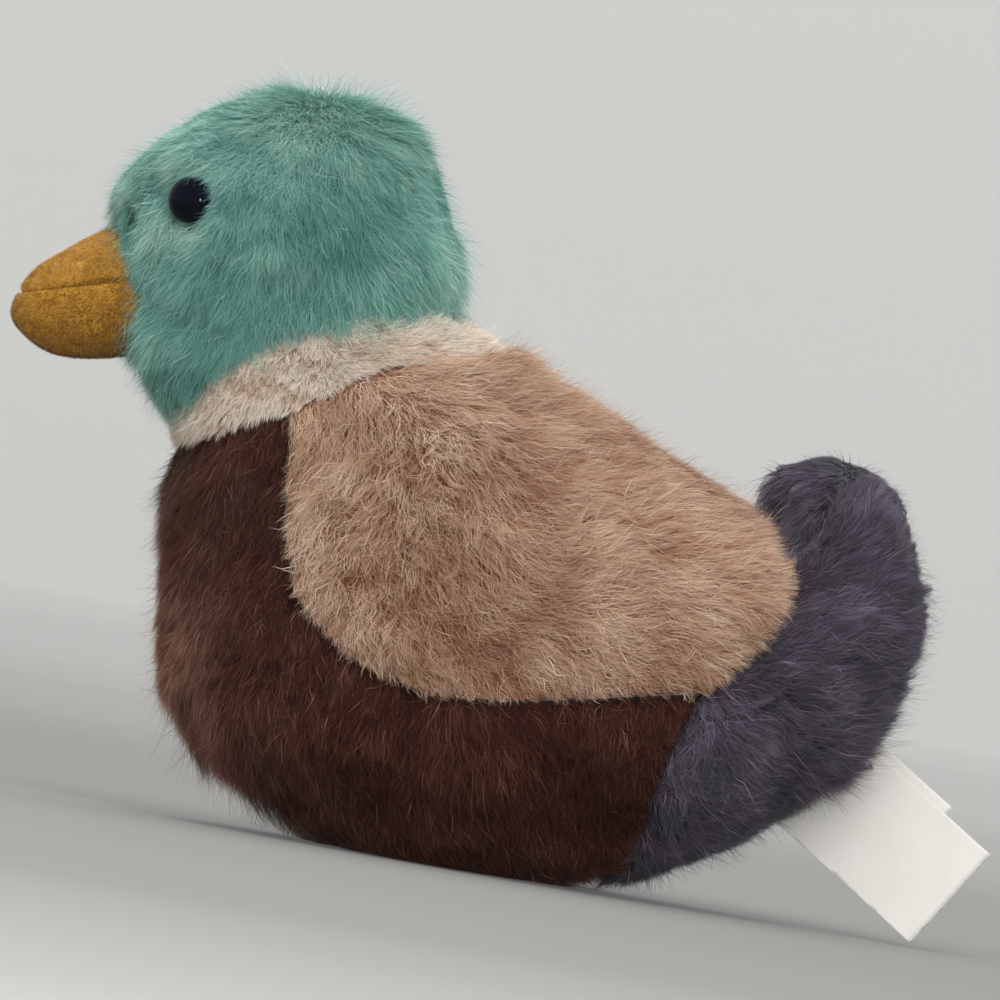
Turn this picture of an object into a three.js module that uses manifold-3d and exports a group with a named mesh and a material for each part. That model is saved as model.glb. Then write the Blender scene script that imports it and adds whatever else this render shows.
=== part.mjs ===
// A small plush mallard drake, sitting. Millimetres, +Z up, its bill towards -Y and its left side towards +X.
// The origin is the middle of the flat base. The skin is sewn from panels of pile fabric round a separately
// stuffed head, body, tail and bill.
import * as THREE from "three";
import { ParametricGeometry } from "three/addons/geometries/ParametricGeometry.js";
import { mergeVertices } from "three/addons/utils/BufferGeometryUtils.js";
import Module from "manifold-3d";

const wasm = await Module();
wasm.setup();

// Driving sizes of the whole toy, measured on the fabric under the pile.
const toy_height = 110;
const body_length = 100;
const body_width = 67;
const tail_thickness = 37;
const tail_width = 44;
const bill_length = 18;
const bill_height = 20;
const bill_width = 19.5;

// Cloth, seams and fits. The form is cut flat at the base by base_cut_depth.
const pile_cloth = 1.2;
const suede_cloth = 1;
const seam_gap = 0.3;
const clearance = 0.3;
const base_cut_depth = 0.5;

// The head, neck and body as one form of level rings, from the base to the crown: height as a share of
// toy_height, middle and half length as shares of body_length, half width as a share of body_width.
const body_shares = [
  [0, -0.02, 0, 0],
  [0.003, -0.02, 0.14, 0.2],
  [0.068, 0.005, 0.305, 0.365],
  [0.177, 0.019, 0.461, 0.482],
  [0.305, 0.021, 0.499, 0.5],
  [0.432, 0.009, 0.501, 0.478],
  [0.527, -0.069, 0.444, 0.42],
  [0.609, -0.19, 0.375, 0.355],
  [0.682, -0.299, 0.299, 0.307],
  [0.745, -0.386, 0.234, 0.31],
  [0.823, -0.41, 0.243, 0.34],
  [0.914, -0.4, 0.2, 0.3],
  [0.975, -0.39, 0.12, 0.19],
  [1, -0.39, 0, 0],
];

// The tail as rings square to a spine that leaves the rump and curls up and forward: place along body_length
// and up toy_height, half thickness as a share of tail_thickness, half width as a share of tail_width.
const tail_shares = [
  [0.12, 0.28, 0, 0],
  [0.2, 0.275, 0.42, 0.42],
  [0.36, 0.3, 0.5, 0.5],
  [0.475, 0.41, 0.35, 0.43],
  [0.5, 0.515, 0.265, 0.35],
  [0.462, 0.585, 0.19, 0.27],
  [0.38, 0.607, 0, 0],
];

// The bill as rings square to its axis, from inside the face to the blunt tip: place along bill_length,
// middle and half height as shares of bill_height, half width as a share of bill_width.
const bill_shares = [
  [-0.6, 0.06, 0, 0],
  [-0.35, 0.05, 0.5, 0.5],
  [0, 0.03, 0.493, 0.49],
  [0.45, -0.035, 0.41, 0.45],
  [0.78, -0.055, 0.285, 0.34],
  [1, -0.07, 0, 0],
];
const bill_root_share = -0.62;
const bill_level_share = 0.7;
const bill_droop = 15.8;
const mouth_level_share = 0.08;

// Seams seen from the side, each place as shares of body_length and toy_height. They run past the toy.
const collar_top_shares = [
  [-0.7, 0.43],
  [-0.535, 0.555],
  [-0.405, 0.68],
  [-0.25, 0.738],
  [-0.02, 0.742],
];
const collar_bottom_shares = [
  [-0.7, 0.4],
  [-0.525, 0.502],
  [-0.337, 0.59],
  [-0.2, 0.668],
  [-0.02, 0.71],
];
const tail_seam_shares = [
  [0.17, -0.06],
  [0.25, 0.04],
  [0.285, 0.2],
  [0.33, 0.31],
  [0.42, 0.415],
  [0.41, 0.51],
  [0.33, 0.57],
  [0.27, 0.7],
];
const saddle_seam_shares = [
  [-0.37, 0.72],
  [-0.335, 0.47],
  [-0.275, 0.31],
  [-0.08, 0.235],
  [0.12, 0.26],
  [0.33, 0.3],
  [0.6, 0.33],
];
const crown_floor_shares = [
  [-0.8, 0.75],
  [-0.4, 0.75],
  [0, 0.62],
];

// Seams seen from above, each place as shares of body_width from the middle and of body_length.
const crown_seam_shares = [
  [0.05, -0.75],
  [0.085, -0.58],
  [0.155, -0.42],
  [0.15, -0.28],
  [0.085, -0.1],
];
const belly_seam_shares = [
  [0, -0.41],
  [0.17, -0.3],
  [0.27, -0.1],
  [0.26, 0.12],
  [0.13, 0.4],
];
const belly_depth_share = 0.23;

// An eye: a bead on a shank, held behind the cloth by a washer.
const eye_place_share = -0.545;
const eye_level_share = 0.835;
const eye_diameter = 7.2;
const eye_rim = 0.7;
const eye_dome = 2.9;
const shank_diameter = 2.4;
const shank_length = 7;
const washer_diameter = 8;
const washer_thickness = 1.2;

// The pouch of beans that lies on the base, which flattens it by pouch_sag.
const pouch_length = 46;
const pouch_width = 38;
const pouch_height = 17;
const pouch_sag = 0.6;
const pouch_place_share = -0.02;

// The ribbon label and the shorter ply behind it, sewn into the tail's centre seam.
const label_width = 17.9;
const label_length = 20.9;
const label_tuck = 12;
const label_thickness = 0.4;
const back_ply_length = 12;
const back_ply_shift = 1.4;
const label_place_share = 0.572;
const label_level_share = 0.181;
const label_droop = 32.1;

// Faces round each form and steps along a seam.
const body_sides = 20;
const body_rings = 18;
const tail_sides = 16;
const tail_rings = 8;
const bill_sides = 12;
const bill_rings = 8;
const pouch_sides = 14;
const pouch_rings = 8;
const round_sides = 16;
const dome_steps = 4;
const seam_steps = 10;

// How far a cut runs past the toy, the step that finds a form's slope, and the halvings that find a height.
const overrun = 60;
const slope_step = 0.002;
const halvings = 30;

const along = (share) => share * body_length;
const up = (share) => share * toy_height - base_cut_depth;
const across = (share) => share * body_width;
const radians = THREE.MathUtils.degToRad;

// A mesh's geometry as a solid that can be cut and joined.
function solidOf(geometry) {
  const bare = geometry.clone();
  bare.deleteAttribute("normal");
  bare.deleteAttribute("uv");
  const merged = mergeVertices(bare);
  const corners = [];
  for (let i = 0; i < merged.index.count; i += 3) {
    const [a, b, c] = [0, 1, 2].map((k) => merged.index.getX(i + k));
    if (a !== b && b !== c && c !== a) corners.push(a, b, c);
  }
  const vertProperties = new Float32Array(merged.attributes.position.array);
  const triVerts = new Uint32Array(corners);
  return new wasm.Manifold(new wasm.Mesh({ numProp: 3, vertProperties, triVerts }));
}

function geometryOf(solid) {
  const mesh = solid.getMesh();
  const geometry = new THREE.BufferGeometry();
  geometry.setAttribute("position", new THREE.BufferAttribute(mesh.vertProperties, 3));
  geometry.setIndex(new THREE.BufferAttribute(mesh.triVerts, 1));
  const faceted = geometry.toNonIndexed();
  faceted.computeVertexNormals();
  return faceted;
}

// A smooth path through rows that end in two half sizes. Both ends are poles, where the half sizes are zero:
// the path goes on over the pole with them negative, so that the form closes round.
function pathThrough(rows) {
  const overPole = ([a, b, half_a, half_b]) => [a, b, -half_a, -half_b];
  const last = rows.length - 1;
  const points = [overPole(rows[1]), ...rows, overPole(rows[last - 1])];
  return (share) => {
    const interval = Math.min(Math.floor(share * last), last - 1);
    const t = share * last - interval;
    const [before, from, to, after] = points.slice(interval, interval + 4);
    return from.map((value, k) => {
      const leaving = (to[k] - before[k]) / 2;
      const arriving = (after[k] - value) / 2;
      const gain = to[k] - value;
      const bend = 3 * gain - 2 * leaving - arriving;
      const swing = leaving + arriving - 2 * gain;
      return value + t * (leaving + t * (bend + t * swing));
    });
  };
}

// A form of level rings: height, middle, half length and half width of each.
function levelForm(rows) {
  const path = pathThrough(rows);
  return (u, v) => {
    const [height, middle, half_length, half_width] = path(v);
    const turn = 2 * Math.PI * u;
    return new THREE.Vector3(half_width * Math.sin(turn), middle + half_length * Math.cos(turn), height);
  };
}

// A form of rings square to a spine in the middle plane: place, height and half sizes of each.
function spineForm(rows) {
  const path = pathThrough(rows);
  return (u, v) => {
    const [place, height, half_thickness, half_width] = path(v);
    const [place_before, height_before] = path(Math.max(v - slope_step, 0));
    const [place_after, height_after] = path(Math.min(v + slope_step, 1));
    const square = new THREE.Vector2(height_before - height_after, place_after - place_before).normalize();
    const turn = 2 * Math.PI * u;
    const out = square.multiplyScalar(-half_thickness * Math.cos(turn));
    return new THREE.Vector3(half_width * Math.sin(turn), place + out.x, height + out.y);
  };
}

const placed = (form, matrix) => (u, v) => form(u, v).applyMatrix4(matrix);

// The way out of a form at a point of it. At a pole it is the mean of four, so that all its corners agree.
function wayOut(form, u, v) {
  const inside = THREE.MathUtils.clamp(v, slope_step, 1 - slope_step);
  const turns = inside === v ? [u] : [0, 0.25, 0.5, 0.75];
  const sum = new THREE.Vector3();
  for (const turn of turns) {
    const round = form(turn + slope_step, inside).sub(form(turn - slope_step, inside));
    const rise = form(turn, inside + slope_step).sub(form(turn, inside - slope_step));
    sum.add(rise.cross(round).normalize());
  }
  return sum.normalize();
}

// A form drawn in by a depth all over, or swelled by a negative one, as a solid.
function solidForm(form, depth, sides, rings) {
  const place = (u, v, target) => {
    const turn = 1 - (u % 1);
    target.copy(form(turn, v)).addScaledVector(wayOut(form, turn, v), -depth);
  };
  return solidOf(new ParametricGeometry(place, sides, rings));
}

// An outline in the side view as a solid that runs across the whole toy.
function prismAcross(outline) {
  const shape = new THREE.Shape(outline);
  const prism = new THREE.ExtrudeGeometry(shape, { depth: 2 * overrun, bevelEnabled: false });
  const sideways = new THREE.Vector3(1, 0, 0);
  const lengthways = new THREE.Vector3(0, 1, 0);
  const upwards = new THREE.Vector3(0, 0, 1);
  const turned = new THREE.Matrix4().makeBasis(lengthways, upwards, sideways);
  return solidOf(prism.applyMatrix4(turned).translate(-overrun, 0, 0));
}

// An outline in the view from above as a solid between two heights.
function prismUp(outline, bottom, top) {
  const shape = new THREE.Shape(outline);
  const prism = new THREE.ExtrudeGeometry(shape, { depth: top - bottom, bevelEnabled: false });
  return solidOf(prism.translate(0, 0, bottom));
}

function seamPoints(shares, first_way, second_way) {
  const places = shares.map(([a, b]) => new THREE.Vector2(first_way(a), second_way(b)));
  return new THREE.SplineCurve(places).getPoints(seam_steps);
}

// The thin strip that a seam takes out of the cloth: half the gap on each side of it.
function stripAlong(points) {
  const side = (way) =>
    points.map((point, i) => {
      const ahead = points[Math.min(i + 1, points.length - 1)];
      const behind = points[Math.max(i - 1, 0)];
      const run = ahead.clone().sub(behind).setLength((way * seam_gap) / 2);
      return new THREE.Vector2(point.x - run.y, point.y + run.x);
    });
  return [...side(1), ...side(-1).reverse()];
}

// The region beyond a seam in the side view: closed by corners far out along a way.
function beyond(points, way_along, way_up) {
  const first = points[0];
  const last = points[points.length - 1];
  const far = new THREE.Vector2(way_along, way_up).multiplyScalar(2 * overrun);
  return [...points, last.clone().add(far), first.clone().add(far)];
}

const mirrored = (points) => points.map((point) => new THREE.Vector2(-point.x, point.y)).reverse();
const split = (solid, region, strip) => [
  solid.intersect(region).subtract(strip),
  solid.subtract(region).subtract(strip),
];

function box(width, length, height, x, y, z) {
  return solidOf(new THREE.BoxGeometry(width, length, height).translate(x, y, z));
}

// The three forms, and the whole toy drawn in by a depth and cut flat underneath.
const body_form = levelForm(
  body_shares.map(([height, middle, half_length, half_width]) => [
    up(height),
    along(middle),
    along(half_length),
    across(half_width),
  ]),
);
const tail_form = spineForm(
  tail_shares.map(([place, height, half_thickness, half_width]) => [
    along(place),
    up(height),
    half_thickness * tail_thickness,
    half_width * tail_width,
  ]),
);
const bill_root = new THREE.Vector3(0, along(bill_root_share), up(bill_level_share));
const bill_place = new THREE.Matrix4()
  .makeRotationX(radians(90 + bill_droop))
  .setPosition(bill_root);
const bill_form = placed(
  levelForm(bill_shares.map(([place, middle, half_height, half_width]) => [
    place * bill_length,
    middle * bill_height,
    half_height * bill_height,
    half_width * bill_width,
  ])),
  bill_place,
);

function toyForm(depth) {
  const body = solidForm(body_form, depth, body_sides, body_rings);
  const tail = solidForm(tail_form, depth, tail_sides, tail_rings);
  const below = box(4 * overrun, 4 * overrun, 2 * overrun, 0, 0, depth - overrun);
  return body.add(tail).subtract(below);
}

// The skin's panels, cut apart along the seams.
const collar_top = seamPoints(collar_top_shares, along, up);
const collar_bottom = seamPoints(collar_bottom_shares, along, up);
const tail_seam = seamPoints(tail_seam_shares, along, up);
const saddle_seam = seamPoints(saddle_seam_shares, along, up);
const crown_floor = seamPoints(crown_floor_shares, along, up);
const crown_seam = seamPoints(crown_seam_shares, across, along);
const belly_seam = seamPoints(belly_seam_shares, across, along);

const above_collar = prismAcross(beyond(collar_top, 0, 1));
const collar_top_strip = prismAcross(stripAlong(collar_top));
const behind_tail_seam = prismAcross(beyond(tail_seam, 1, 0));
const tail_strip = prismAcross(stripAlong(tail_seam));
const left_half = box(2 * overrun, 4 * overrun, 4 * overrun, overrun, 0, 0);
const middle_strip = box(seam_gap, 4 * overrun, 4 * overrun, 0, 0, 0);

const toy_top = up(1) + overrun;
const belly_top = up(belly_depth_share);
const over_crown = prismUp([...mirrored(crown_seam), ...crown_seam], 0, toy_top);
const above_crown_floor = prismAcross(beyond(crown_floor, 0, 1));
const crown_region = over_crown.intersect(above_crown_floor);
const crown_ends = prismAcross(stripAlong(crown_floor)).intersect(over_crown);
const crown_strip = prismUp(stripAlong(crown_seam), 0, toy_top)
  .add(prismUp(stripAlong(mirrored(crown_seam)), 0, toy_top))
  .intersect(above_crown_floor)
  .add(crown_ends);
const belly_region = prismUp([...mirrored(belly_seam), ...belly_seam], -overrun, belly_top);
const belly_strip = prismUp(stripAlong(belly_seam), -overrun, belly_top)
  .add(prismUp(stripAlong(mirrored(belly_seam)), -overrun, belly_top));

const skin = toyForm(0).subtract(toyForm(pile_cloth));
const [head_skin, below_head] = split(skin, above_collar, collar_top_strip);
const [collar_skin, trunk_skin] = split(
  below_head,
  prismAcross(beyond(collar_bottom, 0, 1)),
  prismAcross(stripAlong(collar_bottom)),
);
const [tail_skin, body_skin] = split(trunk_skin, behind_tail_seam, tail_strip);
const [saddle_skin, breast_skin] = split(
  body_skin,
  prismAcross(beyond(saddle_seam, 0.5, 1)),
  prismAcross(stripAlong(saddle_seam)),
);
const [belly_gusset, flank_skin] = split(breast_skin, belly_region, belly_strip);
const [head_gusset, face_skin] = split(head_skin, crown_region, crown_strip);

// The bill's suede shell, parted along the mouth, and its fill. Both stop at the face.
const bill_shell = solidForm(bill_form, 0, bill_sides, bill_rings)
  .subtract(solidForm(bill_form, suede_cloth, bill_sides, bill_rings))
  .subtract(toyForm(-clearance));
const bill_stuffing = solidForm(bill_form, suede_cloth + clearance, bill_sides, bill_rings)
  .subtract(toyForm(-clearance));
const mouth_level = mouth_level_share * bill_height;
function slab(thickness, level) {
  const plate = new THREE.BoxGeometry(2 * overrun, thickness, 2 * overrun);
  return solidOf(plate.translate(0, level, 0).applyMatrix4(bill_place));
}
const [bill_upper, bill_lower] = split(
  bill_shell,
  slab(overrun, mouth_level + overrun / 2),
  slab(seam_gap, mouth_level),
);

// The fill, parted where the head and the tail are stuffed by themselves.
const fill = toyForm(pile_cloth + clearance);
const [head_fill, trunk_fill] = split(fill, above_collar, collar_top_strip);
const [tail_stuffing, body_fill] = split(trunk_fill, behind_tail_seam, tail_strip);

// The pouch of beans, a squashed ball, swelled by a margin for the hollow it lies in.
const pouch_middle = pile_cloth + clearance + pouch_height / 2 - pouch_sag;
function bag(margin) {
  const ball = new THREE.SphereGeometry(1, pouch_sides, pouch_rings);
  ball.scale(pouch_width / 2 + margin, pouch_length / 2 + margin, pouch_height / 2 + margin);
  return solidOf(ball.translate(0, along(pouch_place_share), pouch_middle));
}
const bean_pouch = body_fill.intersect(bag(0));
const body_stuffing = body_fill.subtract(bag(clearance));

// The left eye's place on the face: the point and the way out of the cloth there.
function faceAt(place, height) {
  let low = 0;
  let high = 1;
  for (let i = 0; i < halvings; i += 1) {
    const level = (low + high) / 2;
    if (body_form(0, level).z < height) low = level;
    else high = level;
  }
  const back = body_form(0, low).y;
  const front = body_form(0.5, low).y;
  const turn = Math.acos((2 * place - back - front) / (back - front)) / (2 * Math.PI);
  return { point: body_form(turn, low), way: wayOut(body_form, turn, low) };
}

// A turned profile of radius and height, with height 0 on the cloth, seated at the left eye or the right one.
const eye_seat = faceAt(along(eye_place_share), up(eye_level_share));
function turnedAtEye(profile, side) {
  const mirror = new THREE.Vector3(side, 1, 1);
  const turn = new THREE.Quaternion();
  turn.setFromUnitVectors(new THREE.Vector3(0, 1, 0), eye_seat.way.clone().multiply(mirror));
  const point = eye_seat.point.clone().multiply(mirror);
  const seat = new THREE.Matrix4().makeRotationFromQuaternion(turn).setPosition(point);
  const points = profile.map(([radius, height]) => new THREE.Vector2(radius, height));
  return solidOf(new THREE.LatheGeometry(points, round_sides).applyMatrix4(seat));
}

const eye_radius = eye_diameter / 2;
const shank_radius = shank_diameter / 2;
const washer_radius = washer_diameter / 2;
const dome = Array.from({ length: dome_steps + 1 }, (_, i) => {
  const angle = (i / dome_steps) * (Math.PI / 2);
  return [eye_radius * Math.cos(angle), clearance + eye_rim + eye_dome * Math.sin(angle)];
});
dome[dome_steps][0] = 0;
const eye_profile = [
  [0, -shank_length],
  [shank_radius, -shank_length],
  [shank_radius, clearance],
  [eye_radius, clearance],
  ...dome,
];
// The washer is dished to the cloth that it presses on: a thick ring, trimmed by the form of the fill.
const washer_back = -pile_cloth - clearance - washer_thickness;
const washer_profile = [
  [shank_radius + clearance, 0],
  [shank_radius + clearance, washer_back],
  [washer_radius, washer_back],
  [washer_radius, 0],
  [shank_radius + clearance, 0],
];
const drill = (radius, depth) => [
  [0, -depth],
  [radius, -depth],
  [radius, overrun],
  [0, overrun],
];
const shank_hole = drill(shank_radius + clearance, shank_length);
const washer_pocket = drill(washer_radius + clearance, shank_length + clearance);
const head_stuffing = head_fill
  .subtract(turnedAtEye(washer_pocket, 1))
  .subtract(turnedAtEye(washer_pocket, -1));

// The label's plies hang out of the tail's centre seam, one on each side of the middle.
function ribbon(length, shift, thickness, margin, x) {
  const wide = label_width + 2 * margin;
  const long = length + label_tuck + margin;
  return solidOf(
    new THREE.BoxGeometry(thickness, long, wide)
      .translate(x, long / 2 - label_tuck, shift)
      .rotateX(-radians(label_droop))
      .translate(0, along(label_place_share), up(label_level_share)),
  );
}
const ply_middle = (clearance + label_thickness) / 2;
const hollow = toyForm(pile_cloth);
const label_front = ribbon(label_length, 0, label_thickness, 0, ply_middle).subtract(hollow);
const label_back = ribbon(back_ply_length, back_ply_shift, label_thickness, 0, -ply_middle).subtract(hollow);
const slot_width = 2 * label_thickness + 3 * clearance;
const label_slot = ribbon(label_length, 0, slot_width, back_ply_shift + clearance, 0);

const halves = (solid) => split(solid, left_half, middle_strip);
const [face_left, face_right] = halves(face_skin);
const [collar_left, collar_right] = halves(collar_skin);
const [saddle_left, saddle_right] = halves(saddle_skin);
const [flank_left, flank_right] = halves(flank_skin);
const [tail_left, tail_right] = halves(tail_skin.subtract(label_slot));

// What each piece is made of: colour, roughness and metalness.
const teal_pile = { color: 0x629a88, roughness: 0.9, metalness: 0 };
const cream_pile = { color: 0xbfb0a3, roughness: 0.92, metalness: 0 };
const tan_pile = { color: 0xb39280, roughness: 0.9, metalness: 0 };
const brown_pile = { color: 0x4b322c, roughness: 0.88, metalness: 0 };
const slate_pile = { color: 0x524d57, roughness: 0.9, metalness: 0 };
const mustard_suede = { color: 0xb27f2c, roughness: 0.95, metalness: 0 };
const black_bead = { color: 0x0b0c10, roughness: 0.08, metalness: 0 };
const white_satin = { color: 0xd2cdc6, roughness: 0.5, metalness: 0 };
const white_fibre = { color: 0xf0efe9, roughness: 1, metalness: 0 };
const clear_nylon = { color: 0xd9d9d4, roughness: 0.4, metalness: 0 };
const bean_cloth = { color: 0xdedad0, roughness: 0.9, metalness: 0 };

const pieces = {
  head_side_left: [face_left.subtract(turnedAtEye(shank_hole, 1)), teal_pile],
  head_side_right: [face_right.subtract(turnedAtEye(shank_hole, -1)), teal_pile],
  head_gusset: [head_gusset, teal_pile],
  bill_upper: [bill_upper, mustard_suede],
  bill_lower: [bill_lower, mustard_suede],
  bill_stuffing: [bill_stuffing, white_fibre],
  eye_left: [turnedAtEye(eye_profile, 1), black_bead],
  eye_right: [turnedAtEye(eye_profile, -1), black_bead],
  eye_washer_left: [turnedAtEye(washer_profile, 1).intersect(fill), clear_nylon],
  eye_washer_right: [turnedAtEye(washer_profile, -1).intersect(fill), clear_nylon],
  collar_left: [collar_left, cream_pile],
  collar_right: [collar_right, cream_pile],
  saddle_left: [saddle_left, tan_pile],
  saddle_right: [saddle_right, tan_pile],
  breast_left: [flank_left, brown_pile],
  breast_right: [flank_right, brown_pile],
  belly_gusset: [belly_gusset, brown_pile],
  tail_left: [tail_left, slate_pile],
  tail_right: [tail_right, slate_pile],
  label_front: [label_front, white_satin],
  label_back: [label_back, white_satin],
  head_stuffing: [head_stuffing, white_fibre],
  body_stuffing: [body_stuffing, white_fibre],
  tail_stuffing: [tail_stuffing, white_fibre],
  bean_pouch: [bean_pouch, bean_cloth],
};

const duck = new THREE.Group();
for (const [name, [solid, finish]] of Object.entries(pieces)) {
  const mesh = new THREE.Mesh(geometryOf(solid), new THREE.MeshStandardMaterial(finish));
  mesh.name = name;
  duck.add(mesh);
}

export default duck;
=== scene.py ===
import math

import bmesh
import bpy
import numpy as np
from mathutils import Matrix, Vector
from mathutils.bvhtree import BVHTree
from mathutils.geometry import barycentric_transform
from mathutils.kdtree import KDTree


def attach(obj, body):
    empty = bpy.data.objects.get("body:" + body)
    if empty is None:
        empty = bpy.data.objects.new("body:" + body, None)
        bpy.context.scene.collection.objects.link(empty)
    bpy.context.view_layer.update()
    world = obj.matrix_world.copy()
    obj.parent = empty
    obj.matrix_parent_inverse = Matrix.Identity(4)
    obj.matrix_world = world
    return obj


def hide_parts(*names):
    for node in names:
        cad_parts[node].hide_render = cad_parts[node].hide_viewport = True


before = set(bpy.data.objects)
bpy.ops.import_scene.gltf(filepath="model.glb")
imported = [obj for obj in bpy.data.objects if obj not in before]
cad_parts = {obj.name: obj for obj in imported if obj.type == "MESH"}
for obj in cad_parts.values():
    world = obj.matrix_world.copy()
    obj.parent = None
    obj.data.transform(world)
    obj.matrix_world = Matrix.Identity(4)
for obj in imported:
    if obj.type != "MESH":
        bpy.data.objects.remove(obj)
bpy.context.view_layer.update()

# The camera looks at the toy's left side, square to it. It is rolled, so that the toy dips its bill as in the
# photograph. A long lens far off keeps the near flank from swelling.
mm = 0.001
camera_roll = math.radians(10)
camera_distance = 2.4
photo_width = 0.15
sensor_width = 36
across_photo = Vector((0, math.cos(camera_roll), math.sin(camera_roll)))
up_photo = Vector((0, -math.sin(camera_roll), math.cos(camera_roll)))
out_of_photo = across_photo.cross(up_photo)
photo_middle = Vector((0, -2.0 * mm, 55.5 * mm))


def placed(name, data):
    """A new object in the scene."""
    made = bpy.data.objects.new(name, data)
    bpy.context.scene.collection.objects.link(made)
    return made


camera_data = bpy.data.cameras.new("camera")
camera_data.sensor_width = sensor_width
camera_data.lens = sensor_width * camera_distance / photo_width
camera_data.clip_end = 20
camera = placed("camera", camera_data)
camera.matrix_world = Matrix.Translation(photo_middle + out_of_photo * camera_distance) @ Matrix(
    (across_photo, up_photo, out_of_photo)).transposed().to_4x4()
bpy.context.scene.camera = camera


# Finishes. A thread is one value or colour on its way through a finish's nodes: sums on it add Math nodes. The
# finish is a Principled shader. What is the same all over is set on its sockets, what varies is fed by threads.
class Thread:
    def __init__(self, finish, socket):
        self.finish = finish
        self.socket = socket

    def maths(self, operation, first, second):
        return self.finish.node("ShaderNodeMath", {"operation": operation}, {0: first, 1: second})

    def __add__(self, other):
        return self.maths("ADD", self, other)

    def __radd__(self, other):
        return self.maths("ADD", other, self)

    def __rsub__(self, other):
        return self.maths("SUBTRACT", other, self)

    def __mul__(self, other):
        return self.maths("MULTIPLY", self, other)

    def __rmul__(self, other):
        return self.maths("MULTIPLY", other, self)


class Finish:
    def __init__(self, name, **fixed):
        self.material = bpy.data.materials.new(name)
        self.material.use_nodes = True
        self.tree = self.material.node_tree
        self.shader = self.tree.nodes["Principled BSDF"]
        for socket, value in fixed.items():
            self.shader.inputs[socket.replace("_", " ").title().replace("Ior", "IOR")].default_value = value

    def node(self, kind, settings, values, output=0):
        made = self.tree.nodes.new(kind)
        for setting, value in settings.items():
            if setting == "stops":
                ramp = made.color_ramp.elements
                while len(ramp) < len(value):
                    ramp.new(1)
                for stop, (place, colour) in zip(ramp, value):
                    stop.position = place
                    stop.color = (*colour, 1) if hasattr(colour, "__len__") else (colour, colour, colour, 1)
            else:
                setattr(made, setting, value)
        for key, value in values.items():
            socket = made.inputs[key] if isinstance(key, int) else next(
                s for s in made.inputs if s.identifier == key or s.name == key)
            if isinstance(value, Thread):
                self.tree.links.new(value.socket, socket)
            else:
                socket.default_value = value
        return Thread(self, made.outputs[output])

    def feed(self, **threads):
        for socket, thread in threads.items():
            self.tree.links.new(thread.socket, self.shader.inputs[socket.replace("_", " ").title()])
        return self.material

    def mixed(self, factor, first, second, blend="MIX"):
        values = {"Factor_Float": factor, "A_Color": first, "B_Color": second}
        return self.node("ShaderNodeMix", {"data_type": "RGBA", "blend_type": blend}, values, 2)

    def noise(self, scale, detail=3, roughness=0.5):
        place = self.node("ShaderNodeTexCoord", {}, {}, 3)
        return self.node("ShaderNodeTexNoise", {},
                         {"Vector": place, "Scale": scale, "Detail": detail, "Roughness": roughness})

    def ramp(self, factor, stops):
        return self.node("ShaderNodeValToRGB", {"stops": stops}, {0: factor})

    def ranged(self, value, start, end, low=0, high=1):
        return self.node("ShaderNodeMapRange", {}, {"Value": value, 1: start, 2: end, 3: low, 4: high})

    def part(self, place, axis):
        return self.node("ShaderNodeSeparateXYZ", {}, {0: place}, axis)

    def bump(self, height, strength, distance):
        return self.node("ShaderNodeBump", {}, {"Strength": strength, "Distance": distance, "Height": height})


def linear(red, green, blue):
    """A colour as the eye reads it, 0 to 255, as the shader's own light values."""
    shares = [value / 255 for value in (red, green, blue)]
    return tuple(s / 12.92 if s <= 0.04045 else ((s + 0.055) / 1.055) ** 2.4 for s in shares)


def lathed(name, rows, sides, fill):
    """A disc on the first row, drawn on in rings through the other rows of radius and height. The shape is left
    open for editing."""
    ring_radius, ring_height = rows[0]
    bpy.ops.object.select_all(action="DESELECT")
    bpy.ops.mesh.primitive_circle_add(vertices=sides, radius=ring_radius, fill_type=fill,
                                      location=(0, 0, ring_height))
    shape = bpy.context.object
    shape.name = name
    bpy.ops.object.mode_set(mode="EDIT")
    bpy.ops.mesh.select_mode(type="EDGE")
    bpy.ops.mesh.select_all(action="SELECT")
    bpy.ops.mesh.region_to_loop()
    for radius, height in rows[1:]:
        bpy.ops.mesh.extrude_region_move(TRANSFORM_OT_translate={"value": (0, 0, height - ring_height)})
        bpy.ops.transform.resize(value=(radius / ring_radius, radius / ring_radius, 1))
        ring_radius, ring_height = radius, height
    return shape


# The studio: a pale floor that sweeps up all round into a wall, so that no edge shows behind the toy from any
# side, with soft panels of light above it. Its colour holds painted shadow, darker round the toy and at the foot
# of the sweep, and it glows a little, painted light that lifts its shade.
floor_rows = [(3.8, 0), (3.94, 0.008), (4.12, 0.05), (4.32, 0.16), (4.48, 0.34), (4.6, 0.62), (4.66, 1.1),
              (4.68, 1.9)]
floor = lathed("floor", floor_rows, 96, "TRIFAN")
bpy.ops.object.mode_set(mode="OBJECT")
bpy.ops.object.shade_smooth()
floor_finish = Finish("studio_floor_painted_shade", roughness=0.9, emission_strength=0.24)
floor_cloud = floor_finish.noise(1.5)
floor_place = floor_finish.node("ShaderNodeTexCoord", {}, {}, 3)
floor_height = floor_finish.part(floor_place, 2)
# Painted shadow: the floor is darker near the toy and lower down the sweep.
floor_reach = floor_finish.node("ShaderNodeVectorMath", {"operation": "LENGTH"}, {0: floor_place}, 1)
floor_painted_shadow_fade = floor_finish.ranged(floor_reach, 0.4, 3.2, high=0.12)
floor_painted_light_level = floor_painted_shadow_fade + floor_height * 2.4 + floor_cloud * 0.03
floor_painted_shade_colour = floor_finish.ramp(floor_painted_light_level, [
    (0, linear(114, 113, 110)), (0.06, linear(172, 172, 168)), (0.13, linear(200, 200, 195)),
    (0.4, linear(206, 206, 202)), (1, linear(212, 212, 208))])
# Painted light: the floor glows, more where it is painted lighter.
floor_painted_glow = floor_finish.ranged(floor_painted_light_level, 0, 0.13, low=0.25, high=0.92)
floor.data.materials.append(floor_finish.feed(base_color=floor_painted_shade_colour, emission_color=floor_painted_glow))

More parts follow.
